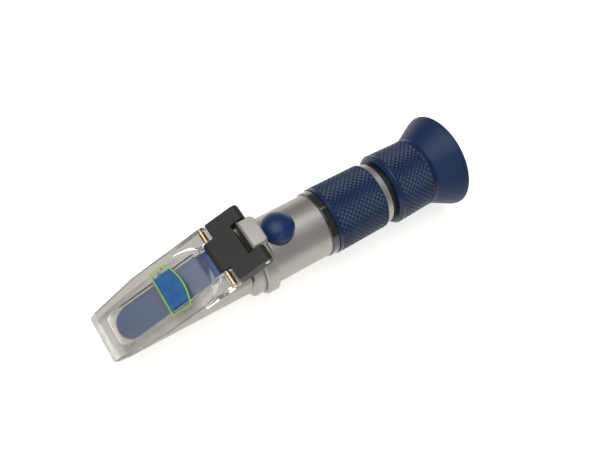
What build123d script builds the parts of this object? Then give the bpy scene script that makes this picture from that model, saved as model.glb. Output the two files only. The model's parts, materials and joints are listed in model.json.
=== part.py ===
from build123d import *
import os
from math import copysign, cos, radians, sin, sqrt

# Handheld refractometer, in millimetres. +X runs along the optical axis to the eyepiece,
# +Z is up, and the origin is under the middle of the length, at the height of the eyecup's rim.

# Lengths along the optical axis, from the front of the daylight plate to the eyecup's rim
plate_to_collar = 63.3
collar_length = 5.6
bare_tube_length = 25.4
grip_ring_length = 3.35
grip_length = 24.6
tube_end_length = 3.0
focus_gap = 2.35
focus_ring_length = 20.0
eyecup_length = 12.4

# Fits: press fits share one radius, moving pieces run with this clearance on the radius
running_clearance = 0.05
seat_gap = 0.02

# Tube, collar and grip
tube_radius = 13.5
tube_bore_radius = 11.9
tube_spigot_radius = 12.8
tube_end_chamfer = 0.3
collar_radius = 15.4
collar_chamfer = 0.8
grip_ring_radius = 14.15
grip_ring_round = 0.5
grip_radius_front = 14.65
grip_radius_rear = 14.4

# Prism housing in front of the collar
groove_radius = 13.4
groove_width = 1.1
flange_radius = 13.8
flange_width = 3.4
flange_cone_length = 1.2
belly_radius_rear = 11.8
belly_radius_front = 11.0
shoulder_radius = 13.5
housing_front_setback = 1.0
housing_front_round = 1.5
housing_bore_radius = 9.5
housing_bore_length = 12.7
window_width = 9.0
window_bottom = -4.5
window_top = 7.0

# Sloping cover: the hinge bracket and the daylight plate share one thickness and one slope
cover_slope = 21.0
cover_thickness = 5.0
main_pin_ahead_of_collar = 0.6
main_pin_height = 20.55
pin_spacing = 14.7
main_pin_radius = 0.95
plate_pin_radius = 0.9
bracket_half_width = 13.0
tongue_half_width = 6.6
tongue_nose = 1.9
crossbar_front = 2.9
crossbar_rear = 10.85
fork_half_gap = 6.75
bracket_corner_radius = 0.8

# Hinge lug on the collar
lug_half_width = 6.4
lug_length = 7.0
lug_ahead_of_pin = 2.2
lug_top = 23.0
lug_rear_round = 2.0
lug_chamfer = 0.7

# Daylight plate
plate_half_width_front = 9.9
plate_half_width_kink = 12.9
plate_half_width_rear = 13.2
plate_taper_length = 21.4
plate_sheet_thickness = 2.2
plate_rear_edge = 4.05
plate_lug_inner = 7.0
plate_lug_root = 3.0
plate_gusset_length = 13.5
plate_gusset_inner = 12.0
plate_gusset_sag = 1.2
pad_half_width = 7.2
pad_drop = 0.4
pad_rear = 6.7
pad_length = 40.1
pad_corner_radius = 3.0
plate_corner_radius = 0.9
front_bevel_length = 2.8
front_bevel_depth = 1.2

# Prism
prism_half_width = 6.4
prism_length = 43.4
prism_rear = 1.9
prism_bottom = -6.2
prism_film = 0.1
prism_proud = 0.2
seal_width = 0.45
seal_depth = 1.0

# Aperture disc between the prism and the objective
aperture_thickness = 1.0
aperture_radius = 4.5
aperture_behind_window = 2.0

# Calibration screw, its bush and the blue cap
screw_behind_collar = 6.8
bush_radius = 3.6
bush_top = 15.6
bush_bottom = 11.7
screw_radius = 1.5
screw_top = 15.2
screw_slot_width = 0.5
screw_slot_depth = 0.7
screw_journal_radius = 0.9
screw_flange_radius = 1.4
screw_flange_thickness = 0.6
cap_radius = 6.5
cap_skirt_top = 16.0
cap_dome_height = 3.3
cap_cavity_top = 15.9
cap_saddle_gap = 0.1

# Bimetal strip, rivets and the lens cell that it carries
strip_front_overhang = 2.5
strip_length = 16.8
strip_width = 5.0
strip_thickness = 0.6
rivet_radius = 0.6
rivet_head_radius = 1.0
rivet_head_height = 0.35
rivet_depth = 1.2
rivet_spacing = 5.2
cell_behind_screw = 6.6
cell_length = 8.0
cell_radius = 10.6
cell_top = 10.2
cell_stop_length = 1.4
cell_stop_radius = 6.7
cell_seat_relief = 0.3
objective_radius = 7.6
objective_curve = 25.0
cement_gap = 0.04
crown_edge = 1.2
flint_edge = 2.7
objective_ring_length = 1.2
objective_ring_bore = 6.6
spring_radius = 1.6
spring_wire_radius = 0.2
spring_pitch = 0.8
spring_pocket_radius = 2.1
spring_pocket_depth = 1.4
spring_foot = -11.45
spring_height = 2.0

# Reticle, in front of the barrel
reticle_cell_length = 5.0
reticle_stop_length = 2.2
reticle_stop_radius = 8.0
reticle_radius = 9.4
reticle_thickness = 1.5
reticle_ring_length = 1.1

# Eyepiece: fixed barrel, sliding carrier, and the focus ring that turns round both
barrel_insert_length = 7.5
barrel_radius = 12.2
barrel_bore_radius = 10.6
focus_radius_front = 15.65
focus_radius_rear = 15.1
focus_lip_radius = 14.4
focus_lip_length = 1.3
focus_ridge_depth = 0.3
focus_ridge_width = 0.4
focus_ridge_pitch = 0.9
web_behind_barrel = 3.0
web_thickness = 2.0
spigot_radius = 12.6
spigot_bore_radius = 11.4
spigot_length = 3.0
carrier_overlap = 13.6
carrier_bore_radius = 9.3
carrier_lip_length = 1.0
carrier_lip_radius = 8.4
carrier_tail_length = 4.6
carrier_to_bowl = 2.05
carrier_shoulder_radius = 11.5
carrier_shoulder_length = 0.9
clip_radius = 11.2
clip_length = 0.9
eyepiece_curve = 24.0
field_lens_edge = 1.4
eye_lens_edge = 1.8
spacer_bore_radius = 8.3
spacer_relief = 0.42
retainer_length = 1.0
retainer_bore_radius = 7.8

# Eyecup: an open cone that ends in a thin rounded rim
cup_root_radius = 15.0
rim_radius = 20.7
rim_face_outer = 19.9
rim_face_inner = 18.4
rim_round_length = 0.8
rim_band_length = 1.6
rim_band_radius = 20.2
bowl_floor_radius = 13.0
bowl_floor_thickness = 1.2
bowl_hole_radius = 8.6

# Stations along X, worked out from the lengths above
total_length = (plate_to_collar + collar_length + bare_tube_length + grip_ring_length + grip_length
                + tube_end_length + focus_gap + focus_ring_length + eyecup_length)
x_front = -total_length / 2
x_collar_front = x_front + plate_to_collar
x_collar_rear = x_collar_front + collar_length
x_grip_ring = x_collar_rear + bare_tube_length
x_grip = x_grip_ring + grip_ring_length
x_grip_rear = x_grip + grip_length
x_tube_end = x_grip_rear + tube_end_length
x_focus = x_tube_end + focus_gap
x_eyecup = x_focus + focus_ring_length
x_rim = x_eyecup + eyecup_length
x_spigot_end = x_eyecup + spigot_length
axis_height = rim_radius
x_screw = x_collar_rear + screw_behind_collar

# Planes and axes: the side plane shows the XZ section with its local y up from the optical axis
optical_axis = Axis((0, 0, axis_height), (1, 0, 0))
side_plane = Plane(origin=(0, 0, axis_height), x_dir=(1, 0, 0), z_dir=(0, -1, 0))
plan_plane = Plane(origin=(0, 0, axis_height), x_dir=(1, 0, 0), z_dir=(0, 0, 1))
screw_side = Plane(origin=(x_screw, 0, axis_height), x_dir=(1, 0, 0), z_dir=(0, -1, 0))
screw_axis = Axis((x_screw, 0, axis_height), (0, 0, 1))

# The cover's own directions: u rises to the rear along the slope and v stands square to it
slope = radians(cover_slope)
u_dir = Vector(cos(slope), 0, sin(slope))
v_dir = Vector(-sin(slope), 0, cos(slope))
cover_half = cover_thickness / 2
main_pin = Vector(x_collar_front - main_pin_ahead_of_collar, 0, axis_height + main_pin_height)
plate_pin_point = main_pin - u_dir * pin_spacing
cover_side = Plane(origin=plate_pin_point, x_dir=u_dir, z_dir=(0, -1, 0))
pad_face_v = -cover_half - pad_drop
prism_face_v = pad_face_v - prism_film
deck_v = prism_face_v - prism_proud
front_edge_v = cover_half - front_bevel_depth
plate_front_u = (x_front - plate_pin_point.X + front_edge_v * sin(slope)) / cos(slope)
everything = 2 * total_length


def cover_plan(v):
    """Plane along the cover at v above its two pins, with local x along u and local y along Y."""
    return Plane(origin=plate_pin_point + v_dir * v, x_dir=u_dir, z_dir=v_dir)


def cross_plane(x):
    """Plane square to the optical axis at x, with local x along Y and local y up."""
    return Plane(origin=(x, 0, axis_height), x_dir=(0, 1, 0), z_dir=(1, 0, 0))


def turn(*profile):
    """Turn a closed profile of (x, radius) points about the optical axis."""
    with BuildSketch(side_plane) as section:
        with BuildLine():
            Polyline(*profile, close=True)
        make_face()
    revolve(section.sketch, axis=optical_axis)


def sleeve(x_start, x_end, outer, inner):
    """Turn a plain sleeve or ring about the optical axis."""
    turn((x_start, inner), (x_start, outer), (x_end, outer), (x_end, inner))


def rise_of(curve, half_width):
    """How far a lens face of this curve stands out over a chord of this half width."""
    return abs(curve) - sqrt(curve ** 2 - half_width ** 2)


def lens_face(x_edge, radius, curve):
    """Draw half a lens face and return its middle: a curve above zero bows towards +X."""
    if curve == 0:
        Line((x_edge, radius), (x_edge, 0))
        return x_edge
    x_middle = x_edge + copysign(rise_of(curve, radius), curve)
    x_half = x_middle - copysign(rise_of(curve, radius / 2), curve)
    ThreePointArc((x_edge, radius), (x_half, radius / 2), (x_middle, 0))
    return x_middle


def lens(x_start, edge, radius, front_curve, rear_curve):
    """Turn a round lens whose rim starts at x_start."""
    with BuildSketch(side_plane) as section:
        with BuildLine():
            front_middle = lens_face(x_start, radius, front_curve)
            rear_middle = lens_face(x_start + edge, radius, rear_curve)
            Line((x_start, radius), (x_start + edge, radius))
            Line((front_middle, 0), (rear_middle, 0))
        make_face()
    revolve(section.sketch, axis=optical_axis)


def oblong(margin, mode=Mode.ADD):
    """Draw the prism's face, widened by a margin: straight sides and a round front end."""
    u_rear = margin - prism_rear
    u_round = prism_half_width - prism_rear - prism_length
    half = prism_half_width + margin
    with Locations((u_round, 0)):
        Circle(half, mode=mode)
    with Locations(((u_rear + u_round) / 2, 0)):
        Rectangle(u_rear - u_round, 2 * half, mode=mode)


def cut_above(v):
    """Cut away everything above the cover's plane at v."""
    with BuildSketch(cover_plan(v)) as cut:
        Rectangle(everything, everything)
    extrude(cut.sketch, amount=everything, mode=Mode.SUBTRACT)


# Prism: the oblong face goes down to a level base, and its rear end is upright
x_prism_rear = cover_plan(prism_face_v).from_local_coords((-prism_rear, 0, 0)).X
with BuildPart() as prism:
    with BuildSketch(cover_plan(prism_face_v)):
        oblong(0)
    extrude(amount=-prism_length)
    with BuildSketch(side_plane):
        with BuildLine():
            Polyline(
                (x_front, prism_bottom),
                (x_prism_rear, prism_bottom),
                (x_prism_rear, main_pin_height),
                (x_front, main_pin_height),
                close=True,
            )
        make_face()
    extrude(amount=prism_half_width, both=True, mode=Mode.INTERSECT)
prism.part.label = "prism"

# Seal: a bead of cement round the top of the prism, level with the deck
with BuildPart() as prism_seal:
    with BuildSketch(cover_plan(deck_v)):
        oblong(seal_width)
        oblong(0, mode=Mode.SUBTRACT)
    extrude(amount=-seal_depth)
prism_seal.part.label = "prism_seal"

# Prism housing: round belly, straight shoulders, sloping deck, collar and hinge lug
x_flange_rear = x_collar_front - groove_width
x_flange_front = x_flange_rear - flange_width
x_body_rear = x_flange_front - flange_cone_length
x_bore_end = x_collar_front - housing_bore_length
x_lug_front = main_pin.X - lug_ahead_of_pin
with BuildPart() as prism_housing:
    for x, belly in ((x_front + housing_front_setback, belly_radius_front),
                     (x_body_rear, belly_radius_rear)):
        with BuildSketch(cross_plane(x)):
            Circle(belly)
            with Locations((0, shoulder_radius / 2)):
                Rectangle(2 * belly, shoulder_radius)
            Circle(shoulder_radius, mode=Mode.INTERSECT)
    loft()
    fillet(prism_housing.faces().sort_by(Axis.X)[0].edges(), housing_front_round)
    cut_above(deck_v)

    # Flange, groove and collar
    turn(
        (x_body_rear, 0),
        (x_body_rear, belly_radius_rear),
        (x_flange_front, flange_radius),
        (x_flange_rear, flange_radius),
        (x_flange_rear, groove_radius),
        (x_collar_front, groove_radius),
        (x_collar_front, collar_radius - collar_chamfer),
        (x_collar_front + collar_chamfer, collar_radius),
        (x_collar_rear - collar_chamfer, collar_radius),
        (x_collar_rear, collar_radius - collar_chamfer),
        (x_collar_rear, 0),
    )

    # Hinge lug, bored for its pin
    with BuildSketch(plan_plane) as lug_plan:
        with Locations((x_lug_front + lug_length / 2, 0)):
            Rectangle(lug_length, 2 * lug_half_width)
        fillet(lug_plan.vertices().group_by(Axis.X)[-1], lug_rear_round)
    extrude(amount=lug_top)
    chamfer(prism_housing.faces().sort_by(Axis.Z)[-1].edges(), lug_chamfer)
    with BuildSketch(Plane(origin=main_pin, x_dir=(1, 0, 0), z_dir=(0, -1, 0))):
        Circle(main_pin_radius)
    extrude(amount=bracket_half_width, both=True, mode=Mode.SUBTRACT)

    # Seat of the main tube, the bore ahead of it and the light window up to the prism
    with BuildSketch(cross_plane(x_collar_rear)):
        Circle(tube_spigot_radius)
    extrude(amount=-collar_length, mode=Mode.SUBTRACT)
    with BuildSketch(cross_plane(x_collar_front)):
        Circle(housing_bore_radius)
    extrude(amount=-housing_bore_length, mode=Mode.SUBTRACT)
    with BuildSketch(cross_plane(x_bore_end)):
        with Locations((0, (window_bottom + window_top) / 2)):
            Rectangle(window_width, window_top - window_bottom)
    extrude(amount=x_prism_rear - x_bore_end, mode=Mode.SUBTRACT)

    # Pockets for the prism and its seal
    add(prism.part, mode=Mode.SUBTRACT)
    add(prism_seal.part, mode=Mode.SUBTRACT)
prism_housing.part.label = "prism_housing"

# Aperture disc that keeps stray light out of the tube
x_aperture = x_bore_end + aperture_behind_window
with BuildPart() as aperture_disc:
    sleeve(x_aperture, x_aperture + aperture_thickness, housing_bore_radius, aperture_radius)
aperture_disc.part.label = "aperture_disc"

# Main hinge pin, pressed into the lug
with BuildPart() as hinge_pin:
    with BuildSketch(Plane(origin=main_pin, x_dir=(1, 0, 0), z_dir=(0, -1, 0))):
        Circle(main_pin_radius)
    extrude(amount=bracket_half_width, both=True)
hinge_pin.part.label = "hinge_pin"

# Hinge bracket: a tongue in front, a crossbar, and two arms beside the lug
arm_width = bracket_half_width - fork_half_gap
arm_middle = (bracket_half_width + fork_half_gap) / 2
bracket_rear = pin_spacing + cover_half
with BuildPart() as hinge_bracket:
    with BuildSketch(cover_plan(0)):
        with Locations(((crossbar_rear - tongue_nose) / 2, 0)):
            Rectangle(crossbar_rear + tongue_nose, 2 * tongue_half_width)
        with Locations(((crossbar_front + crossbar_rear) / 2, 0)):
            Rectangle(crossbar_rear - crossbar_front, 2 * bracket_half_width)
        with Locations(((crossbar_front + bracket_rear) / 2, arm_middle),
                       ((crossbar_front + bracket_rear) / 2, -arm_middle)):
            Rectangle(bracket_rear - crossbar_front, arm_width)
    extrude(amount=cover_half, both=True)
    upright = hinge_bracket.edges().filter_by(Axis(plate_pin_point, v_dir))
    fillet(upright.group_by(Axis.Y)[0] + upright.group_by(Axis.Y)[-1], bracket_corner_radius)
    with BuildSketch(cover_side):
        with Locations((0, 0), (pin_spacing, 0)):
            Circle(cover_half)
        with Locations((pin_spacing / 2, 0)):
            Rectangle(pin_spacing, cover_thickness)
    extrude(amount=bracket_half_width, both=True, mode=Mode.INTERSECT)
    with BuildSketch(cover_side):
        Circle(plate_pin_radius)
        with Locations((pin_spacing, 0)):
            Circle(main_pin_radius + running_clearance)
    extrude(amount=bracket_half_width, both=True, mode=Mode.SUBTRACT)
hinge_bracket.part.label = "hinge_bracket"

# Brass pin that carries the daylight plate, pressed into the bracket's tongue
with BuildPart() as plate_pin:
    with BuildSketch(cover_side):
        Circle(plate_pin_radius)
    extrude(amount=plate_half_width_rear, both=True)
plate_pin.part.label = "plate_pin"

# Daylight plate: a clear sheet with a frosted pad below it and two lugs on the pin
plate_kink_u = plate_front_u + plate_taper_length
gusset_mid_u = -(plate_lug_root + plate_gusset_length) / 2
gusset_mid_y = (plate_lug_inner + plate_gusset_inner) / 2 + plate_gusset_sag
with BuildPart() as daylight_plate:
    with BuildSketch(cover_plan(cover_half)) as sheet:
        with BuildLine():
            Polyline(
                (plate_front_u, -plate_half_width_front),
                (plate_kink_u, -plate_half_width_kink),
                (0, -plate_half_width_rear),
                (0, plate_half_width_rear),
                (plate_kink_u, plate_half_width_kink),
                (plate_front_u, plate_half_width_front),
                close=True,
            )
        make_face()
        fillet(sheet.vertices().group_by(Axis.X)[0], plate_corner_radius)
        Rectangle(2 * plate_rear_edge, 2 * plate_lug_inner, mode=Mode.SUBTRACT)
    extrude(amount=-plate_sheet_thickness)
    with BuildSketch(cover_side):
        with BuildLine():
            Polyline(
                (plate_front_u - front_bevel_length, front_edge_v - front_bevel_depth),
                (plate_front_u + 2 * front_bevel_length, cover_half + front_bevel_depth),
                (plate_front_u - front_bevel_length, cover_half + front_bevel_depth),
                close=True,
            )
        make_face()
    extrude(amount=plate_half_width_rear, both=True, mode=Mode.SUBTRACT)

    # Lugs, as thick as the bracket and round about the pin, with curved gussets ahead of them
    for side in (1, -1):
        with BuildSketch(cover_plan(-cover_half)):
            with BuildLine():
                Polyline(
                    (-plate_lug_root, side * plate_lug_inner),
                    (cover_half, side * plate_lug_inner),
                    (cover_half, side * plate_half_width_rear),
                    (-plate_gusset_length, side * plate_half_width_kink),
                    (-plate_gusset_length, side * plate_gusset_inner),
                )
                ThreePointArc(
                    (-plate_gusset_length, side * plate_gusset_inner),
                    (gusset_mid_u, side * gusset_mid_y),
                    (-plate_lug_root, side * plate_lug_inner),
                )
            make_face()
        extrude(amount=cover_thickness)
    with BuildSketch(cover_side):
        with Locations((-everything / 2, 0)):
            Rectangle(everything, everything)
        Circle(cover_half)
    extrude(amount=plate_half_width_rear, both=True, mode=Mode.INTERSECT)

    # Frosted pad that spreads the liquid over the prism
    with BuildSketch(cover_plan(pad_face_v)) as pad:
        with Locations((-pad_rear - pad_length / 2, 0)):
            Rectangle(pad_length, 2 * pad_half_width)
        fillet(pad.vertices().group_by(Axis.X)[0], pad_corner_radius)
    extrude(amount=cover_half - plate_sheet_thickness - pad_face_v)
    with BuildSketch(cover_side):
        Circle(plate_pin_radius + running_clearance)
    extrude(amount=plate_half_width_rear, both=True, mode=Mode.SUBTRACT)
daylight_plate.part.label = "daylight_plate"

# Main tube, with a spigot in the collar and a hole for the screw's bush
with BuildPart() as main_tube:
    turn(
        (x_collar_front, tube_bore_radius),
        (x_collar_front, tube_spigot_radius),
        (x_collar_rear, tube_spigot_radius),
        (x_collar_rear, tube_radius),
        (x_tube_end - tube_end_chamfer, tube_radius),
        (x_tube_end, tube_radius - tube_end_chamfer),
        (x_tube_end, tube_bore_radius),
    )
    with BuildSketch(plan_plane):
        with Locations((x_screw, 0)):
            Circle(bush_radius)
    extrude(amount=collar_radius, mode=Mode.SUBTRACT)
main_tube.part.label = "main_tube"

# Bush for the calibration screw, fixed in the tube's wall
with BuildPart() as screw_bush:
    with BuildSketch(plan_plane.offset(bush_bottom)):
        with Locations((x_screw, 0)):
            Circle(bush_radius)
            Circle(screw_radius + running_clearance, mode=Mode.SUBTRACT)
    extrude(amount=bush_top - bush_bottom)
screw_bush.part.label = "screw_bush"

# Calibration screw: slotted top, plain shank, and a journal riveted under the strip
strip_top = cell_top + strip_thickness
screw_shoulder = strip_top + seat_gap
screw_foot = cell_top - seat_gap
with BuildPart() as calibration_screw:
    with BuildSketch(screw_side):
        with BuildLine():
            Polyline(
                (0, screw_foot - screw_flange_thickness),
                (screw_flange_radius, screw_foot - screw_flange_thickness),
                (screw_flange_radius, screw_foot),
                (screw_journal_radius, screw_foot),
                (screw_journal_radius, screw_shoulder),
                (screw_radius, screw_shoulder),
                (screw_radius, screw_top),
                (0, screw_top),
                close=True,
            )
        make_face()
    revolve(axis=screw_axis)
    with BuildSketch(plan_plane.offset(screw_top)):
        with Locations((x_screw, 0)):
            Rectangle(screw_slot_width, 4 * screw_radius)
    extrude(amount=-screw_slot_depth, mode=Mode.SUBTRACT)
calibration_screw.part.label = "calibration_screw"

# Screw cap: a dome with a skirt that sits on the tube like a saddle
cap_top = cap_skirt_top + cap_dome_height
dome_radius = (cap_radius ** 2 + cap_dome_height ** 2) / (2 * cap_dome_height)
dome_mid = cap_top - rise_of(dome_radius, cap_radius / 2)
with BuildPart() as screw_cap:
    with BuildSketch(screw_side):
        with BuildLine():
            Polyline((0, cap_top), (0, 0), (cap_radius, 0), (cap_radius, cap_skirt_top))
            ThreePointArc((cap_radius, cap_skirt_top), (cap_radius / 2, dome_mid), (0, cap_top))
        make_face()
    revolve(axis=screw_axis)
    with BuildSketch(cross_plane(x_screw)):
        Circle(tube_radius + cap_saddle_gap)
    extrude(amount=2 * cap_radius, both=True, mode=Mode.SUBTRACT)
    with BuildSketch(plan_plane):
        with Locations((x_screw, 0)):
            Circle(bush_radius + running_clearance)
    extrude(amount=cap_cavity_top, mode=Mode.SUBTRACT)
screw_cap.part.label = "screw_cap"

# Bimetal strip: it hangs on the screw and bends with heat, which moves the objective
x_strip = x_screw - strip_front_overhang
x_cell = x_screw + cell_behind_screw
x_cell_middle = x_cell + cell_length / 2
rivet_places = ((x_cell_middle - rivet_spacing / 2, 0), (x_cell_middle + rivet_spacing / 2, 0))
with BuildPart() as bimetal_strip:
    with BuildSketch(plan_plane.offset(cell_top)) as strip_plan:
        with Locations((x_strip + strip_length / 2, 0)):
            Rectangle(strip_length, strip_width)
        fillet(strip_plan.vertices().group_by(Axis.X)[0], strip_width / 3)
        with Locations((x_screw, 0)):
            Circle(screw_journal_radius + running_clearance, mode=Mode.SUBTRACT)
        with Locations(*rivet_places):
            Circle(rivet_radius, mode=Mode.SUBTRACT)
    extrude(amount=strip_thickness)
bimetal_strip.part.label = "bimetal_strip"

# Lens cell, flat on top under the strip, with a pocket for the spring below
with BuildPart() as lens_cell:
    turn(
        (x_cell, cell_stop_radius),
        (x_cell, cell_radius),
        (x_cell + cell_length, cell_radius),
        (x_cell + cell_length, objective_radius),
        (x_cell + cell_stop_length, objective_radius),
        (x_cell + cell_stop_length, cell_stop_radius),
    )
    with BuildSketch(plan_plane.offset(cell_top)):
        with Locations((x_cell_middle, 0)):
            Rectangle(2 * cell_length, 2 * cell_radius)
    extrude(amount=cell_radius, mode=Mode.SUBTRACT)
    with BuildSketch(plan_plane.offset(cell_top)):
        with Locations(*rivet_places):
            Circle(rivet_radius)
    extrude(amount=-rivet_depth, mode=Mode.SUBTRACT)
    with BuildSketch(plan_plane.offset(-cell_radius + spring_pocket_depth)):
        with Locations((x_cell_middle, 0)):
            Circle(spring_pocket_radius)
    extrude(amount=-cell_radius, mode=Mode.SUBTRACT)
lens_cell.part.label = "lens_cell"

# Two rivets hold the strip on the lens cell
rivets = []
for number, place in enumerate(rivet_places, 1):
    with BuildPart() as rivet:
        with BuildSketch(plan_plane.offset(cell_top - rivet_depth)):
            with Locations(place):
                Circle(rivet_radius)
        extrude(amount=rivet_depth + strip_thickness)
        with BuildSketch(plan_plane.offset(strip_top)):
            with Locations(place):
                Circle(rivet_head_radius)
        extrude(amount=rivet_head_height)
    rivet.part.label = f"strip_rivet_{number}"
    rivets.append(rivet)

# Cemented objective: a crown and a flint lens, and the ring that holds them
x_crown = x_cell + cell_stop_length + cell_seat_relief
x_flint = x_crown + crown_edge + cement_gap
x_objective_ring = x_flint + flint_edge + seat_gap
with BuildPart() as objective_crown:
    lens(x_crown, crown_edge, objective_radius, -objective_curve, objective_curve)
objective_crown.part.label = "objective_crown"

with BuildPart() as objective_flint:
    lens(x_flint, flint_edge, objective_radius, objective_curve, 0)
objective_flint.part.label = "objective_flint"

with BuildPart() as objective_ring:
    sleeve(x_objective_ring, x_objective_ring + objective_ring_length, objective_radius,
           objective_ring_bore)
objective_ring.part.label = "objective_ring"

# Return spring between the tube and the lens cell
with BuildPart() as return_spring:
    with BuildLine(plan_plane.offset(spring_foot) * Pos(x_cell_middle, 0, 0)) as coil:
        Helix(pitch=spring_pitch, height=spring_height, radius=spring_radius)
    with BuildSketch(Plane(origin=coil.line @ 0, z_dir=coil.line % 0)):
        Circle(spring_wire_radius)
    sweep(path=coil.line, is_frenet=True)
return_spring.part.label = "return_spring"

# Glossy ring in front of the grip, and the rubber grip itself
with BuildPart() as grip_ring:
    with BuildSketch(side_plane) as ring_section:
        with Locations((x_grip_ring, tube_radius)):
            Rectangle(grip_ring_length, grip_ring_radius - tube_radius, align=(Align.MIN, Align.MIN))
        fillet(ring_section.vertices().group_by(Axis.Y)[-1], grip_ring_round)
    revolve(axis=optical_axis)
grip_ring.part.label = "grip_ring"

with BuildPart() as rubber_grip:
    turn((x_grip, tube_radius), (x_grip, grip_radius_front), (x_grip_rear, grip_radius_rear),
         (x_grip_rear, tube_radius))
rubber_grip.part.label = "rubber_grip"

# Reticle with the scale, in its own cell with a ring behind it
x_barrel = x_tube_end - barrel_insert_length
x_reticle_cell = x_barrel - seat_gap - reticle_cell_length
x_reticle = x_reticle_cell + reticle_stop_length
with BuildPart() as reticle_cell:
    turn(
        (x_reticle_cell, reticle_stop_radius),
        (x_reticle_cell, tube_bore_radius),
        (x_reticle_cell + reticle_cell_length, tube_bore_radius),
        (x_reticle_cell + reticle_cell_length, reticle_radius),
        (x_reticle, reticle_radius),
        (x_reticle, reticle_stop_radius),
    )
reticle_cell.part.label = "reticle_cell"

with BuildPart() as reticle:
    with BuildSketch(cross_plane(x_reticle)):
        Circle(reticle_radius)
    extrude(amount=reticle_thickness)
reticle.part.label = "reticle"

x_reticle_ring = x_reticle + reticle_thickness + seat_gap
with BuildPart() as reticle_ring:
    sleeve(x_reticle_ring, x_reticle_ring + reticle_ring_length, reticle_radius,
           reticle_stop_radius)
reticle_ring.part.label = "reticle_ring"

# Focus barrel: fixed in the tube's end, and seen as the black gap in front of the focus ring
x_carrier_rear = x_spigot_end - carrier_to_bowl
x_web = x_carrier_rear - carrier_tail_length
x_barrel_end = x_web - web_behind_barrel
with BuildPart() as focus_barrel:
    turn(
        (x_barrel, barrel_bore_radius),
        (x_barrel, tube_bore_radius),
        (x_tube_end, tube_bore_radius),
        (x_tube_end, barrel_radius),
        (x_barrel_end, barrel_radius),
        (x_barrel_end, barrel_bore_radius),
    )
focus_barrel.part.label = "focus_barrel"

# Eyepiece carrier: it slides in the barrel, and its tail passes through the focus ring's web
carrier_radius = barrel_bore_radius - running_clearance
x_carrier = x_barrel_end - carrier_overlap
x_shoulder_rear = x_web - seat_gap
x_shoulder = x_shoulder_rear - carrier_shoulder_length
x_field_lens = x_carrier + carrier_lip_length
with BuildPart() as eyepiece_carrier:
    turn(
        (x_carrier, carrier_lip_radius),
        (x_carrier, carrier_radius),
        (x_shoulder, carrier_radius),
        (x_shoulder, carrier_shoulder_radius),
        (x_shoulder_rear, carrier_shoulder_radius),
        (x_shoulder_rear, carrier_radius),
        (x_carrier_rear, carrier_radius),
        (x_carrier_rear, carrier_bore_radius),
        (x_field_lens, carrier_bore_radius),
        (x_field_lens, carrier_lip_radius),
    )
eyepiece_carrier.part.label = "eyepiece_carrier"

# Two plano-convex lenses face each other, with a spacer between them and a ring behind
x_retainer = x_carrier_rear - retainer_length
x_eye_lens = x_retainer - seat_gap - eye_lens_edge
with BuildPart() as field_lens:
    lens(x_field_lens, field_lens_edge, carrier_bore_radius, 0, eyepiece_curve)
field_lens.part.label = "field_lens"

with BuildPart() as lens_spacer:
    sleeve(x_field_lens + field_lens_edge + spacer_relief, x_eye_lens - spacer_relief,
           carrier_bore_radius, spacer_bore_radius)
lens_spacer.part.label = "lens_spacer"

with BuildPart() as eye_lens:
    lens(x_eye_lens, eye_lens_edge, carrier_bore_radius, -eyepiece_curve, 0)
eye_lens.part.label = "eye_lens"

with BuildPart() as eyepiece_retainer:
    sleeve(x_retainer, x_carrier_rear, carrier_bore_radius, retainer_bore_radius)
eyepiece_retainer.part.label = "eyepiece_retainer"

# Focus ring: it turns on the barrel and the carrier, and draws the carrier along
x_web_rear = x_web + web_thickness
with BuildPart() as focus_ring:
    turn(
        (x_focus, barrel_radius + running_clearance),
        (x_focus, focus_lip_radius),
        (x_focus + focus_lip_length, focus_radius_front),
        (x_eyecup, focus_radius_rear),
        (x_eyecup, spigot_radius),
        (x_spigot_end, spigot_radius),
        (x_spigot_end, spigot_bore_radius),
        (x_web_rear, spigot_bore_radius),
        (x_web_rear, barrel_bore_radius),
        (x_web, barrel_bore_radius),
        (x_web, barrel_radius + running_clearance),
    )
    for ridge in (1, 2):
        x_ridge = x_eyecup - ridge * focus_ridge_pitch
        with BuildSketch(side_plane):
            with Locations((x_ridge, focus_radius_rear)):
                Rectangle(focus_ridge_width, 2 * focus_ridge_depth)
        revolve(axis=optical_axis, mode=Mode.SUBTRACT)
focus_ring.part.label = "focus_ring"

# Clip on the carrier's tail, behind the web
x_clip = x_web_rear + seat_gap
with BuildPart() as eyepiece_clip:
    sleeve(x_clip, x_clip + clip_length, clip_radius, carrier_radius)
eyepiece_clip.part.label = "eyepiece_clip"

# Rubber eyecup, pushed onto the focus ring's spigot
x_bowl = x_spigot_end + bowl_floor_thickness
with BuildPart() as eyecup:
    turn(
        (x_eyecup, spigot_radius),
        (x_eyecup, cup_root_radius),
        (x_rim - rim_round_length - rim_band_length, rim_band_radius),
        (x_rim - rim_round_length, rim_radius),
        (x_rim, rim_face_outer),
        (x_rim, rim_face_inner),
        (x_bowl, bowl_floor_radius),
        (x_bowl, bowl_hole_radius),
        (x_spigot_end, bowl_hole_radius),
        (x_spigot_end, spigot_radius),
    )
eyecup.part.label = "eyecup"

# One STEP file for each piece
os.makedirs("parts", exist_ok=True)
for piece in (prism_housing, prism, prism_seal, aperture_disc, hinge_pin, hinge_bracket,
              plate_pin, daylight_plate, main_tube, screw_bush, calibration_screw, screw_cap,
              bimetal_strip, *rivets, lens_cell, objective_crown, objective_flint,
              objective_ring, return_spring, grip_ring, rubber_grip, reticle_cell, reticle,
              reticle_ring, focus_barrel, eyepiece_carrier, field_lens, lens_spacer, eye_lens,
              eyepiece_retainer, eyepiece_clip, focus_ring, eyecup):
    export_step(piece.part, f"parts/{piece.part.label}.step")
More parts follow.
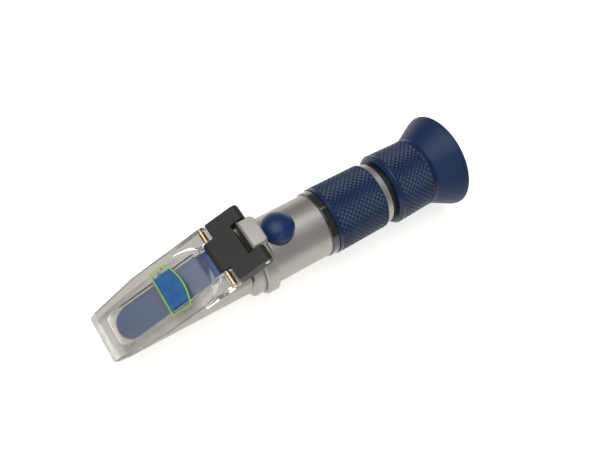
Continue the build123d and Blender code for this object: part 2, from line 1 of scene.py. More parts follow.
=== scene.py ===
# %% [markdown]
# # A handheld refractometer
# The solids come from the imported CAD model, which fixes every size and every joint. This lesson
# dresses them: it gives each solid a finish, and it makes new meshes only for the pieces whose
# real surface is finer than the CAD shows. These are the knurled grip and focusing ring, the
# soft eyecup and the thin film on the cover. The frame could also be remodelled by eye, but then
# nothing would be sure to fit or to move.

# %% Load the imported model
import json
import math

import bmesh
import bpy
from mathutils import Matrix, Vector


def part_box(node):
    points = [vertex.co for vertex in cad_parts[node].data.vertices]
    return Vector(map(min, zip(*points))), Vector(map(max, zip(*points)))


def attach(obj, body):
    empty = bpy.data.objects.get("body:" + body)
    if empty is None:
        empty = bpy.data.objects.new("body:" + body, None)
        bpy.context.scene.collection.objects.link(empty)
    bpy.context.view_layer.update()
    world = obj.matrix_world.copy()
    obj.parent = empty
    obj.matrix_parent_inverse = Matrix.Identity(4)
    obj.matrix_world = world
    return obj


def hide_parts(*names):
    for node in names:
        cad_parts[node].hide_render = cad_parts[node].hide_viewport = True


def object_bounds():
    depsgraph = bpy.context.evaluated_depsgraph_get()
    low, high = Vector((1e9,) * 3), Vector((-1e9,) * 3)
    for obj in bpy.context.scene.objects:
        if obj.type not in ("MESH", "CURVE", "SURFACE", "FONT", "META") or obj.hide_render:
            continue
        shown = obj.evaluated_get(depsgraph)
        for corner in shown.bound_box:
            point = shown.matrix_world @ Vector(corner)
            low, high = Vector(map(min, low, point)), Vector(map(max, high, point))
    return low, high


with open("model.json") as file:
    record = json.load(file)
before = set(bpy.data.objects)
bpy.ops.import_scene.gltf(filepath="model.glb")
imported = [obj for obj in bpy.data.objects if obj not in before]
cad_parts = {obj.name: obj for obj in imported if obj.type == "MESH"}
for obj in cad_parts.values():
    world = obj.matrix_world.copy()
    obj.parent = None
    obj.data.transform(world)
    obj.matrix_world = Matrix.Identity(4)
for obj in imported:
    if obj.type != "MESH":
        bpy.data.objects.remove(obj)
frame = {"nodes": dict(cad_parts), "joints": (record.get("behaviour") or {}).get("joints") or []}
nodes = frame["nodes"]
cad_low, cad_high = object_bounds()
MM = 0.001
size_mm = [round(side / MM, 1) for side in cad_high - cad_low]
print("solids:", len(nodes), "size in mm:", size_mm)

# %% [markdown]
# ## The camera
# The photograph looks down on the instrument from the side of its sloping cover. The place of
# the camera was solved from the ellipses of the rings and from the straight edges, so the render
# lines up with the photograph. A camera could be set by eye instead, but small errors in its
# turn would then be read as errors in the shapes.

# %% Place the camera
CAMERA_PLACE = (-0.093645, -0.1110705, 0.285243)
CAMERA_TURN = (29.776358, -5.116795, -33.235725)
FOCAL_LENGTH_PIXELS = 749.42
IMAGE_WIDTH_PIXELS = 600
SENSOR_WIDTH = 36.0
NEAREST_SEEN = 0.01

camera_data = bpy.data.cameras.new("camera")
camera_data.sensor_width = SENSOR_WIDTH
camera_data.lens = FOCAL_LENGTH_PIXELS / IMAGE_WIDTH_PIXELS * SENSOR_WIDTH
camera_data.clip_start = NEAREST_SEEN
camera = bpy.data.objects.new("camera", camera_data)
camera.location = CAMERA_PLACE
camera.rotation_euler = [math.radians(angle) for angle in CAMERA_TURN]
bpy.context.scene.collection.objects.link(camera)
bpy.context.scene.camera = camera
print("lens in mm:", round(camera_data.lens, 2))

# %% [markdown]
# ## Lamps
# A product photograph like this is lit by a large white tent. Here that is one wide soft lamp
# above, a weaker one on the camera's side, and an even grey world. The lamps together light a
# surface at about the level at which its colour comes out as it is written.

# %% Hang the lamps
# Each lamp has a place, a width in metres and a power in watts.
LAMPS = {
    "overhead_softbox": ((-0.10, 0.05, 0.62), 0.60, 2.7),
    "camera_side_softbox": ((-0.15, -0.62, 0.34), 0.40, 0.5),
}


def hang_lamp(name, place, width, power):
    """Hang a square soft lamp that faces the middle of the instrument."""
    lamp_data = bpy.data.lights.new(name, "AREA")
    lamp_data.size = width
    lamp_data.energy = power
    lamp = bpy.data.objects.new(name, lamp_data)
    lamp.location = place
    towards = (cad_low + cad_high) / 2 - Vector(place)
    lamp.rotation_euler = towards.to_track_quat("-Z", "Y").to_euler()
    bpy.context.scene.collection.objects.link(lamp)


for lamp_name, (lamp_place, lamp_width, lamp_power) in LAMPS.items():
    hang_lamp(lamp_name, lamp_place, lamp_width, lamp_power)
print("lamps:", len(LAMPS))

# %% [markdown]
# ## World
# The world does two jobs. It lights the instrument from all sides with an even grey, and it
# shows white to the camera above the horizon of the floor. One strength for both would either
# grey the background or wash out the instrument.

# %% Set the world
WORLD_LIGHT = 0.28
WORLD_SEEN = 1.0


def set_world():
    """Light the object with an even grey, and show white to the rays of the camera."""
    world = bpy.data.worlds.new("tent")
    bpy.context.scene.world = world
    world.use_nodes = True
    tree = world.node_tree
    path = tree.nodes.new("ShaderNodeLightPath")
    strength = tree.nodes.new("ShaderNodeMapRange")
    strength.inputs["To Min"].default_value = WORLD_LIGHT
    strength.inputs["To Max"].default_value = WORLD_SEEN
    tree.links.new(path.outputs["Is Camera Ray"], strength.inputs["Value"])
    background = tree.nodes["Background"]
    background.inputs["Color"].default_value = (1, 1, 1, 1)
    tree.links.new(strength.outputs["Result"], background.inputs["Strength"])


set_world()
bpy.context.scene.view_settings.view_transform = "Standard"
print("world:", WORLD_LIGHT)

# %% [markdown]
# ## Which rays see the background
# The floor needs to know who looks at it. Blender's Light Path node tells that by yes or no for
# each kind of ray, and a little arithmetic joins the answers. A ray through clear plastic counts
# as glossy too, so those rays are taken off again.

# %% Make the tools for rays
def calculate(tree, operation, *values):
    """Add one step of arithmetic. Each value is a number or the output of another node."""
    step = tree.nodes.new("ShaderNodeMath")
    step.operation = operation
    for socket, value in zip(step.inputs, values):
        if isinstance(value, float):
            socket.default_value = value
        else:
            tree.links.new(value, socket)
    return step.outputs[0]


def seen_rays(tree):
    """One for rays of the camera or of a reflection, and none for rays through a clear piece."""
    rays = tree.nodes.new("ShaderNodeLightPath").outputs
    mirrored = calculate(tree, "SUBTRACT", rays["Is Glossy Ray"], rays["Is Transmission Ray"])
    return calculate(tree, "MAXIMUM", rays["Is Camera Ray"], mirrored)


print("ray tools ready")

# %% [markdown]
# ## Floor
# The instrument stands above a plain pale floor. The floor has some light of its own for the rays
# of the camera and of reflections, so that it reads as white paper, and it still takes the soft
# shadow. Through the clear cover it shows its own warm grey, as in the photograph. It could be
# lit to white by more lamps, but those would also wash out the instrument.

# %% Lay the floor
FLOOR_HALF_WIDTH = 3.0
FLOOR_GLOW = 0.72
FLOOR_COLOUR = (0.66, 0.62, 0.56)
FLOOR_ROUGHNESS = 0.9


def lay_floor():
    """Lay a pale sheet under the lowest point of the instrument."""
    mesh = bpy.data.meshes.new("floor")
    half = FLOOR_HALF_WIDTH
    corners = [(-half, -half), (half, -half), (half, half), (-half, half)]
    mesh.from_pydata([(x, y, cad_low.z) for x, y in corners], [], [(0, 1, 2, 3)])
    floor = bpy.data.objects.new("floor", mesh)
    bpy.context.scene.collection.objects.link(floor)
    material = bpy.data.materials.new("white_paper")
    material.use_nodes = True
    tree = material.node_tree
    shader = tree.nodes["Principled BSDF"]
    shader.inputs["Base Color"].default_value = (*FLOOR_COLOUR, 1)
    shader.inputs["Roughness"].default_value = FLOOR_ROUGHNESS
    shader.inputs["Specular IOR Level"].default_value = 0.0
    shader.inputs["Emission Color"].default_value = (1, 1, 1, 1)
    glow = calculate(tree, "MULTIPLY", seen_rays(tree), FLOOR_GLOW)
    tree.links.new(glow, shader.inputs["Emission Strength"])
    mesh.materials.append(material)


lay_floor()
print("floor at z =", round(cad_low.z, 5))

# %% [markdown]
# ## Tools for colours
# Every finish starts from Blender's Principled shader. What makes a surface look real at close
# range is that nothing on it is quite even. So a pattern is turned into a range of numbers or
# into a blend of two colours, and those drive the shader.

# %% Make the tools for colours
def new_finish(name):
    """Start a finish and return it with its node tree and its shader."""
    material = bpy.data.materials.new(name)
    material.use_nodes = True
    tree = material.node_tree
    return material, tree, tree.nodes["Principled BSDF"]


def between(tree, source, low, high, start=0.3, end=0.7):
    """Turn a pattern into numbers from low to high."""
    spread = tree.nodes.new("ShaderNodeMapRange")
    spread.inputs["From Min"].default_value = start
    spread.inputs["From Max"].default_value = end
    spread.inputs["To Min"].default_value = low
    spread.inputs["To Max"].default_value = high
    tree.links.new(source, spread.inputs["Value"])
    return spread.outputs["Result"]


def blend_colours(tree, source, first, second):
    """Blend two colours by a pattern that runs from 0 to 1. A colour may be a node's output."""
    mix = tree.nodes.new("ShaderNodeMix")
    mix.data_type = "RGBA"
    for socket, colour in ((mix.inputs[6], first), (mix.inputs[7], second)):
        if isinstance(colour, tuple):
            socket.default_value = (*colour, 1)
        else:
            tree.links.new(colour, socket)
    tree.links.new(source, mix.inputs[0])
    return mix.outputs[2]


print("colour tools ready")

# %% [markdown]
# ## Tools for patterns
# The pattern behind most finishes is soft random clouds, given by their size in millimetres.
# Large clouds make the tone drift, and tiny ones make grain, both in the gloss and as a fine
# relief. Image textures could do the same, but they would need files and unwrapping, while these
# patterns follow the solid itself.

# %% Make the tools for patterns
def clouds(tree, patch_mm, detail=2.0):
    """Soft random patches about this many millimetres wide."""
    place = tree.nodes.new("ShaderNodeTexCoord")
    scale = tree.nodes.new("ShaderNodeMapping")
    scale.inputs["Scale"].default_value = [1 / (patch_mm * MM)] * 3
    texture = tree.nodes.new("ShaderNodeTexNoise")
    texture.inputs["Scale"].default_value = 1.0
    texture.inputs["Detail"].default_value = detail
    tree.links.new(place.outputs["Object"], scale.inputs["Vector"])
    tree.links.new(scale.outputs["Vector"], texture.inputs["Vector"])
    return texture.outputs["Fac"]


def emboss(tree, shader, source, depth_mm):
    """Give the surface a relief as deep as this, from a pattern."""
    relief = tree.nodes.new("ShaderNodeBump")
    relief.inputs["Strength"].default_value = 1.0
    relief.inputs["Distance"].default_value = depth_mm * MM
    tree.links.new(source, relief.inputs["Height"])
    tree.links.new(relief.outputs["Normal"], shader.inputs["Normal"])


print("pattern tools ready")

# %% [markdown]
# ## Whole finishes
# Metal, paint, plastic and rubber differ in their numbers only, so one recipe serves them all.
# A colour that is the same all over the surface would be simpler, but it looks like a drawing.

# %% Make the tools for whole finishes
def plain_finish(name, dark, light, roughness, patch_mm, grain_mm, grain_depth_mm=0.004,
                 **sockets):
    """A finish whose tone drifts between two colours, with an uneven gloss and a fine grain."""
    material, tree, shader = new_finish(name)
    drift = clouds(tree, patch_mm, detail=3.0)
    colour = blend_colours(tree, between(tree, drift, 0.0, 1.0), dark, light)
    tree.links.new(colour, shader.inputs["Base Color"])
    grain = clouds(tree, grain_mm)
    smooth, rough = roughness
    tree.links.new(between(tree, grain, smooth, rough), shader.inputs["Roughness"])
    emboss(tree, shader, grain, grain_depth_mm)
    for socket, value in sockets.items():
        shader.inputs[socket.replace("_", " ")].default_value = value
    return material


def dress(material, *names):
    """Give a finish to CAD solids, in the material slots that they have."""
    for name in names:
        for slot in nodes[name].material_slots:
            slot.material = material


print("finish tools ready")

# %% [markdown]
# ## Bare metal
# The housing and the tube are aluminium with a satin coat. It mirrors the tent in a blurred way:
# light along the top, darker towards the horizon, and light again where it faces the floor. A
# grey paint would not show that, so the finish is mostly metallic, and a fine blasted grain
# breaks up the gloss.

# %% Finish the housing, the tube and the pins
satin_aluminium = plain_finish(
    "satin_aluminium", (0.40, 0.385, 0.355), (0.45, 0.435, 0.41), (0.36, 0.46),
    patch_mm=9.0, grain_mm=0.18, grain_depth_mm=0.003, Metallic=0.85)
dress(satin_aluminium, "prism_housing", "main_tube")

ground_steel = plain_finish(
    "ground_steel", (0.50, 0.49, 0.47), (0.62, 0.61, 0.59), (0.18, 0.30),
    patch_mm=2.0, grain_mm=0.12, grain_depth_mm=0.001, Metallic=1.0)
dress(ground_steel, "hinge_pin", "eyepiece_clip", "return_spring", "strip_rivet_1",
      "strip_rivet_2", "bimetal_strip")

turned_brass = plain_finish(
    "turned_brass", (0.58, 0.34, 0.10), (0.78, 0.50, 0.20), (0.18, 0.28),
    patch_mm=1.5, grain_mm=0.10, grain_depth_mm=0.001, Metallic=1.0)
dress(turned_brass, "plate_pin", "screw_bush", "calibration_screw")
print("metal finishes: 3")

# %% [markdown]
# ## Black parts
# The hinge bracket is painted a satin charcoal, the ring in front of the grip is glossy black
# plastic, and the barrel and the inner cells are black anodised so that they throw no light
# about inside. One black for all would be simpler, but their gloss is what tells them apart.

# %% Finish the black parts
charcoal_paint = plain_finish(
    "charcoal_paint", (0.019, 0.020, 0.018), (0.027, 0.028, 0.025), (0.42, 0.52),
    patch_mm=5.0, grain_mm=0.30, grain_depth_mm=0.006, Specular_IOR_Level=0.3)
dress(charcoal_paint, "hinge_bracket")

gloss_black = plain_finish(
    "gloss_black", (0.006, 0.006, 0.007), (0.010, 0.010, 0.011), (0.08, 0.14),
    patch_mm=3.0, grain_mm=0.60, grain_depth_mm=0.001, Coat_Weight=0.6)
dress(gloss_black, "grip_ring")

black_anodising = plain_finish(
    "black_anodising", (0.008, 0.008, 0.007), (0.014, 0.014, 0.012), (0.45, 0.60),
    patch_mm=4.0, grain_mm=0.20, grain_depth_mm=0.003)
dress(black_anodising, "focus_barrel", "aperture_disc", "lens_cell", "objective_ring",
      "reticle_cell", "reticle_ring", "eyepiece_carrier", "lens_spacer", "eyepiece_retainer")

cement = plain_finish(
    "cement", (0.010, 0.011, 0.012), (0.020, 0.022, 0.024), (0.55, 0.75),
    patch_mm=1.5, grain_mm=0.30, grain_depth_mm=0.02)
dress(cement, "prism_seal")
print("black finishes: 4")

# %% [markdown]
# ## Blue cap
# The cap over the adjusting screw is a soft plastic dome with a satin skin. Moulded skins are
# never quite even, so a broad faint waviness bends the highlight.

# %% Finish the cap
satin_blue = plain_finish(
    "satin_blue", (0.004, 0.026, 0.100), (0.007, 0.035, 0.125), (0.30, 0.42),
    patch_mm=4.0, grain_mm=0.9, grain_depth_mm=0.012, Specular_IOR_Level=0.35)
dress(satin_blue, "screw_cap")
print("cap finished")

# %% [markdown]
# ## Lenses
# The small lenses are clear glass that bends light. They sit inside the tube, so they show only
# through the eyepiece or when the pieces are drawn apart.

# %% Finish the lenses
LENS_INDEX = 1.52


def polished_glass():
    """Clear optical glass with a faint tone and hardly any roughness."""
    material, tree, shader = new_finish("polished_glass")
    drift = clouds(tree, 5.0)
    tint = blend_colours(
        tree, between(tree, drift, 0.0, 1.0), (0.90, 0.95, 0.93), (0.95, 0.98, 0.97))
    tree.links.new(tint, shader.inputs["Base Color"])
    tree.links.new(between(tree, drift, 0.01, 0.03), shader.inputs["Roughness"])
    shader.inputs["Transmission Weight"].default_value = 1.0
    shader.inputs["IOR"].default_value = LENS_INDEX
    return material


dress(polished_glass(), "objective_crown", "objective_flint", "reticle", "field_lens", "eye_lens")
print("lenses finished")

# %% [markdown]
# ## The cover's own directions
# The cover slopes, so its features are easiest to place along it, across it and above it. Both
# of its pins are joints of the CAD model, and the line between them gives the slope. The slope
# could be typed in as an angle, but then it would not follow a change of the model.

# %% Find the cover's own directions
joints = {joint["name"]: joint for joint in frame["joints"]}
main_pin = Vector(joints["cover_hinge"]["pos_m"])
plate_pin = Vector(joints["plate_tilt"]["pos_m"])
along_cover = (main_pin - plate_pin).normalized()
across_cover = Vector((0, 1, 0))
above_cover = along_cover.cross(across_cover)
cover_slope = math.atan2(along_cover.z, along_cover.x)
print("slope of the cover:", round(math.degrees(cover_slope), 2))


# %% Measure along the cover inside a material
def cover_heights(tree):
    """Place along, across and above the cover, in millimetres from the brass pin."""
    place = tree.nodes.new("ShaderNodeTexCoord")
    turn = tree.nodes.new("ShaderNodeVectorRotate")
    turn.rotation_type = "Y_AXIS"
    turn.inputs["Center"].default_value = plate_pin
    turn.inputs["Angle"].default_value = cover_slope
    shift = tree.nodes.new("ShaderNodeVectorMath")
    shift.operation = "SUBTRACT"
    shift.inputs[1].default_value = plate_pin
    grow = tree.nodes.new("ShaderNodeVectorMath")
    grow.operation = "SCALE"
    grow.inputs["Scale"].default_value = 1 / MM
    parts = tree.nodes.new("ShaderNodeSeparateXYZ")
    tree.links.new(place.outputs["Object"], turn.inputs["Vector"])
    tree.links.new(turn.outputs["Vector"], shift.inputs[0])
    tree.links.new(shift.outputs["Vector"], grow.inputs[0])
    tree.links.new(grow.outputs["Vector"], parts.inputs["Vector"])
    return parts.outputs


print("cover measured")

# %% [markdown]
# ## Clear cover plate
# The daylight plate is moulded acrylic. It bends light as real acrylic does, so its bevel and
# the side walls of its pad draw the bright lines of the photograph by themselves. Below, the
# face of the pad is frosted, which spreads the liquid and veils the blue of the prism. The
# frosting is found by its height above the cover's own line. Light is let through to what lies
# under the plate by making the plate clear to shadow rays, which is much faster to render than
# true caustics.

# %% Finish the cover plate
PAD_FACE = -2.9
FROST_BAND = 0.12
FROST_ROUGHNESS = (0.26, 0.34)
FROST_HAZE = (0.0, 0.02)
CLEAR_ROUGHNESS = 0.015
ACRYLIC_INDEX = 1.49
SHADOW_TINT = (0.93, 0.925, 0.91)


def let_light_through(tree, shader, tint):
    """Make a clear piece open to shadow rays, so that what lies under it is lit."""
    path = tree.nodes.new("ShaderNodeLightPath")
    clear = tree.nodes.new("ShaderNodeBsdfTransparent")
    clear.inputs["Color"].default_value = (*tint, 1)
    choose = tree.nodes.new("ShaderNodeMixShader")
    tree.links.new(path.outputs["Is Shadow Ray"], choose.inputs[0])
    tree.links.new(shader.outputs["BSDF"], choose.inputs[1])
    tree.links.new(clear.outputs["BSDF"], choose.inputs[2])
    tree.links.new(choose.outputs["Shader"], tree.nodes["Material Output"].inputs["Surface"])


def clear_acrylic():
    """Moulded acrylic with a frosted face under its pad."""
    material, tree, shader = new_finish("clear_acrylic")
    tint = blend_colours(tree, between(tree, clouds(tree, 12.0), 0.0, 1.0),
                         (0.975, 0.97, 0.955), (0.99, 0.985, 0.975))
    tree.links.new(tint, shader.inputs["Base Color"])
    height = cover_heights(tree)["Z"]
    frost = between(tree, height, 1.0, 0.0, start=PAD_FACE, end=PAD_FACE + FROST_BAND)
    grain = clouds(tree, 1.4, detail=5.0)
    frosting = between(tree, grain, *FROST_ROUGHNESS)
    rough = calculate(tree, "MULTIPLY_ADD", frost, frosting, CLEAR_ROUGHNESS)
    tree.links.new(rough, shader.inputs["Roughness"])
    haze = calculate(tree, "MULTIPLY", frost, between(tree, grain, *FROST_HAZE))
    clearness = calculate(tree, "SUBTRACT", 1.0, haze)
    tree.links.new(clearness, shader.inputs["Transmission Weight"])
    shader.inputs["IOR"].default_value = ACRYLIC_INDEX
    let_light_through(tree, shader, SHADOW_TINT)
    return material


dress(clear_acrylic(), "daylight_plate")
print("cover plate finished")

# %% [markdown]
# ## Prism
# The prism is clear too, but the housing behind it is dark, so from above it shows the colour of
# its coated sides. A solid colour under a polished coat gives that at every angle, where real
# glass would only show the grey pocket. Over most of its length the cover plate lies on it, and
# there the blue is painted darker as the plate's shade; the bare strip next to the hinge keeps a
# deep blue.

# %% Finish the prism
# Painted shade: the prism is coloured darker where the cover plate lies over it.
SHADED_PRISM_DARK = (0.004, 0.026, 0.095)
SHADED_PRISM_LIGHT = (0.010, 0.042, 0.135)
BARE_STRIP_BLUE = (0.002, 0.070, 0.290)
BARE_STRIP_START = -4.3
BARE_STRIP_EDGE = 0.3


def prism_blue():
    """Blue glass, mottled, with painted shade under the plate and bare deep blue by the hinge."""
    material, tree, shader = new_finish("prism_blue")
    mottle = between(tree, clouds(tree, 1.6, detail=5.0), 0.0, 1.0)
    # Painted shade under the cover plate, blended into the bare deep blue past the plate's edge.
    shaded_under_plate = blend_colours(tree, mottle, SHADED_PRISM_DARK, SHADED_PRISM_LIGHT)
    strip = between(tree, cover_heights(tree)["X"], 0.0, 1.0,
                    start=BARE_STRIP_START, end=BARE_STRIP_START + BARE_STRIP_EDGE)
    tree.links.new(blend_colours(tree, strip, shaded_under_plate, BARE_STRIP_BLUE),
                   shader.inputs["Base Color"])
    grain = clouds(tree, 0.6, detail=3.0)
    tree.links.new(between(tree, grain, 0.20, 0.32), shader.inputs["Roughness"])
    emboss(tree, shader, grain, 0.002)
    shader.inputs["Coat Weight"].default_value = 0.4
    shader.inputs["Coat Roughness"].default_value = 0.08
    return material


dress(prism_blue(), "prism")
print("prism finished")

# %% [markdown]
# ## Turned pieces
# The grip, the focusing ring and the eyecup are round about the optical axis, so each is made
# like a turned piece: a closed outline of places and radii is carried round in steps. A screw
# modifier could do that for a smooth outline. Here the rings are written out, because on two of
# the pieces the radius also changes round each ring, which makes the knurling.

# %% Carry an outline round the optical axis
AXIS_HEIGHT = (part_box("main_tube")[0].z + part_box("main_tube")[1].z) / 2


def turned_piece(name, rings, columns):
    """Join rings of points into one closed mesh. A ring is a place on X and a radius by angle."""
    points = []
    radii = []
    for x, radius_at in rings:
        for column in range(columns):
            angle = 2 * math.pi * column / columns
            radius = radius_at(column) if callable(radius_at) else radius_at
            radii.append(radius)
            points.append((x * MM, radius * MM * math.sin(angle),
                           AXIS_HEIGHT + radius * MM * math.cos(angle)))
    faces = []
    for ring, (_, radius_at) in enumerate(rings):
        after = (ring + 1) % len(rings)
        for column in range(columns):
            beside = (column + 1) % columns
            square = (ring * columns + column, after * columns + column,
                      after * columns + beside, ring * columns + beside)
            faces += split_square(square, radii) if callable(radius_at) else [square]
    return closed_mesh(name, points, faces)


def split_square(square, radii):
    """Split a square of the knurling along its low diagonal, so that pyramid sides are flat."""
    first, second, third, fourth = square
    if radii[first] + radii[third] < radii[second] + radii[fourth]:
        return [(first, second, third), (first, third, fourth)]
    return [(first, second, fourth), (second, third, fourth)]


def closed_mesh(name, points, faces):
    """Make an object of points and faces, with all faces looking outwards."""
    mesh = bpy.data.meshes.new(name)
    mesh.from_pydata(points, [], faces)
    build = bmesh.new()
    build.from_mesh(mesh)
    bmesh.ops.recalc_face_normals(build, faces=build.faces)
    build.to_mesh(mesh)
    build.free()
    piece = bpy.data.objects.new(name, mesh)
    bpy.context.scene.collection.objects.link(piece)
    return piece


print("optical axis at z =", round(AXIS_HEIGHT, 5))

# %% [markdown]
# ## Knurling
# A knurling wheel presses two crossing sets of grooves into the mould, which leaves small
# four-sided pyramids in staggered rows. The grooves could be a bump in the material, but then the
# outline of the grip would be smooth and the mesh would lose them. So the height of the surface
# is worked out from the two sets of grooves, at four steps to each pitch, and each square is
# split along its groove so that the pyramids have flat sides.

# %% Make the knurled rings
STEPS_PER_PITCH = 4
TIP_FLAT = 0.8
KNURL_DEPTH = 0.45
KNURL_GAP = 0.05


def knurl_height(column, row):
    """Height from 0 in a groove to 1 on a tip, for a point of the staggered pattern."""
    one_way = ((column + row) / STEPS_PER_PITCH) % 1
    other_way = ((column - row) / STEPS_PER_PITCH) % 1
    from_tip = max(abs(one_way - 0.5), abs(other_way - 0.5)) * 2
    return min((1 - from_tip) / TIP_FLAT, 1)


def knurled_rings(start, end, pitches):
    """Rings of pyramids from start to end, each a place on X and a radius by column."""
    (x_start, radius_start), (x_end, radius_end) = start, end
    rows = pitches * STEPS_PER_PITCH
    rings = []
    for row in range(rows + 1):
        share = row / rows
        outer = radius_start + (radius_end - radius_start) * share

        def radius_at(column, row=row, outer=outer):
            return outer - KNURL_DEPTH * (1 - knurl_height(column, row))

        rings.append((x_start + (x_end - x_start) * share, radius_at))
    return rings


grip_low, grip_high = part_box("rubber_grip")
ring_low, ring_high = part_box("focus_ring")
print("grip length in mm:", round((grip_high.x - grip_low.x) / MM, 2))

# %% [markdown]
# ## Rubber grip
# The grip is a moulded sleeve. Its knurling stops short of both ends, where a narrow plain band
# keeps the edge from tearing.

# %% Make the grip
GRIP_BORE = 13.5
GRIP_RADIUS_FRONT = 14.65
GRIP_RADIUS_REAR = 14.4
GRIP_PLAIN_FRONT = 1.5
GRIP_PLAIN_REAR = 0.7
GRIP_BAND_STEP = 0.12
GRIP_END_STEP = 0.35
GRIP_END_FRONT = 0.3
GRIP_END_REAR = 0.25
GRIP_PITCHES_ROUND = 40
GRIP_PITCHES_ALONG = 10


def make_grip():
    """Turn the grip's sleeve with its knurling between two plain bands."""
    x_front, x_rear = grip_low.x / MM, grip_high.x / MM
    x_knurl_start = x_front + GRIP_PLAIN_FRONT
    x_knurl_end = x_rear - GRIP_PLAIN_REAR
    rings = [
        (x_front, GRIP_BORE),
        (x_front, GRIP_RADIUS_FRONT - GRIP_END_STEP),
        (x_front + GRIP_END_FRONT, GRIP_RADIUS_FRONT - GRIP_BAND_STEP),
        (x_knurl_start, GRIP_RADIUS_FRONT - GRIP_BAND_STEP),
    ]
    rings += knurled_rings((x_knurl_start + KNURL_GAP, GRIP_RADIUS_FRONT),
                           (x_knurl_end - KNURL_GAP, GRIP_RADIUS_REAR), GRIP_PITCHES_ALONG)
    rings += [
        (x_knurl_end, GRIP_RADIUS_REAR - GRIP_BAND_STEP),
        (x_rear - GRIP_END_REAR, GRIP_RADIUS_REAR - GRIP_BAND_STEP),
        (x_rear, GRIP_RADIUS_REAR - GRIP_END_STEP),
        (x_rear, GRIP_BORE),
    ]
    return turned_piece("knurled_grip", rings, GRIP_PITCHES_ROUND * STEPS_PER_PITCH)


grip = make_grip()
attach(grip, "main_body")
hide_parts("rubber_grip")
print("grip faces:", len(grip.data.polygons))

# %% [markdown]
# ## Focusing ring
# The focusing ring is made the same way, with a smooth lip in front, two fine grooves beside the
# eyecup, and the hidden web and spigot that the solid has. The lip and the grooves are short
# tables of places and radii, which are easier to correct than a chain of sums.

# %% Make the focusing ring
FOCUS_RADIUS_FRONT = 15.65
FOCUS_RADIUS_REAR = 15.1
FOCUS_LIP = ((0.0, 14.25), (0.12, 14.45), (1.05, 15.37), (1.3, 15.55), (1.6, 15.61), (2.2, 15.57))
FOCUS_PLAIN_FRONT = 2.2
FOCUS_PLAIN_REAR = 2.3
FOCUS_BORE = 12.25
FOCUS_PITCHES_ROUND = 42
FOCUS_PITCHES_ALONG = 7
FOCUS_BAND_STEP = 0.1
GROOVE = ((-0.25, 0.0), (-0.1, -0.3), (0.1, -0.3), (0.25, 0.0))
GROOVE_PITCH = 0.9
SHOULDER_CHAMFER = 0.12
SPIGOT_LENGTH = 3.0
SPIGOT_RADIUS = 12.6
SPIGOT_BORE = 11.4
WEB_BORE = 10.6
WEB_FRONT = 3.65
WEB_THICKNESS = 2.0


def make_focus_ring():
    """Turn the focusing ring with its lip, knurling, grooves and inner steps."""
    x_front = ring_low.x / MM
    x_end = ring_high.x / MM
    x_shoulder = x_end - SPIGOT_LENGTH
    x_web = x_shoulder - WEB_FRONT
    x_knurl_start = x_front + FOCUS_PLAIN_FRONT
    x_knurl_end = x_shoulder - FOCUS_PLAIN_REAR
    rings = [(x_front, FOCUS_BORE)]
    rings += [(x_front + x, radius) for x, radius in FOCUS_LIP]
    rings += knurled_rings((x_knurl_start + KNURL_GAP, FOCUS_RADIUS_FRONT),
                           (x_knurl_end - KNURL_GAP, FOCUS_RADIUS_REAR), FOCUS_PITCHES_ALONG)
    rings.append((x_knurl_end, FOCUS_RADIUS_REAR - FOCUS_BAND_STEP))
    for number in (2, 1):
        x_groove = x_shoulder - number * GROOVE_PITCH
        rings += [(x_groove + x, FOCUS_RADIUS_REAR + rise) for x, rise in GROOVE]
    rings += [
        (x_shoulder - SHOULDER_CHAMFER, FOCUS_RADIUS_REAR),
        (x_shoulder, FOCUS_RADIUS_REAR - SHOULDER_CHAMFER),
        (x_shoulder, SPIGOT_RADIUS),
        (x_end, SPIGOT_RADIUS),
        (x_end, SPIGOT_BORE),
        (x_web + WEB_THICKNESS, SPIGOT_BORE),
        (x_web + WEB_THICKNESS, WEB_BORE),
        (x_web, WEB_BORE),
        (x_web, FOCUS_BORE),
    ]
    return turned_piece("knurled_focus_ring", rings, FOCUS_PITCHES_ROUND * STEPS_PER_PITCH)


focus_ring = make_focus_ring()
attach(focus_ring, "focusing")
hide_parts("focus_ring")
print("focusing ring faces:", len(focus_ring.data.polygons))

# %% [markdown]
# ## Rounded outlines
# Soft rubber has no sharp corners. A bevel could round them after the cup is turned, but it would
# have to be given to the right edges only. Here each corner of the outline has a radius of its
# own, and a short curve replaces the corner before anything is turned.

# %% Round the corners of an outline
def rounded(outline, corners, steps=4):
    """Round some corners of a closed outline: corners gives a radius for a point's number."""
    points = []
    for number, point in enumerate(outline):
        corner = Vector(point)
        radius = corners.get(number)
        if not radius:
            points.append(corner)
            continue
        before = (Vector(outline[number - 1]) - corner).normalized()
        after = (Vector(outline[(number + 1) % len(outline)]) - corner).normalized()
        reach = radius / math.tan(before.angle(after) / 2)
        start, end = corner + before * reach, corner + after * reach
        for step in range(steps + 1):
            share = step / steps
            near = start.lerp(corner, share)
            far = corner.lerp(end, share)
            points.append(near.lerp(far, share))
    return points


print("rounding ready")

# %% [markdown]
# ## Eyecup
# The eyecup is a soft rubber cone with a rounded rim. Its outline has only the points that the
# shape needs: four on the outside from the root to the rim, then the rim's face and the inside.
# Many columns keep the wide rim round.

# %% Make the eyecup
CUP_COLUMNS = 160
CUP_CORNERS = {1: 0.25, 2: 2.5, 3: 0.7, 4: 0.45, 5: 0.6, 6: 1.2, 7: 0.3, 8: 0.3}
CUP_FLOOR_FRONT = 3.0
CUP_FLOOR_REAR = 4.2


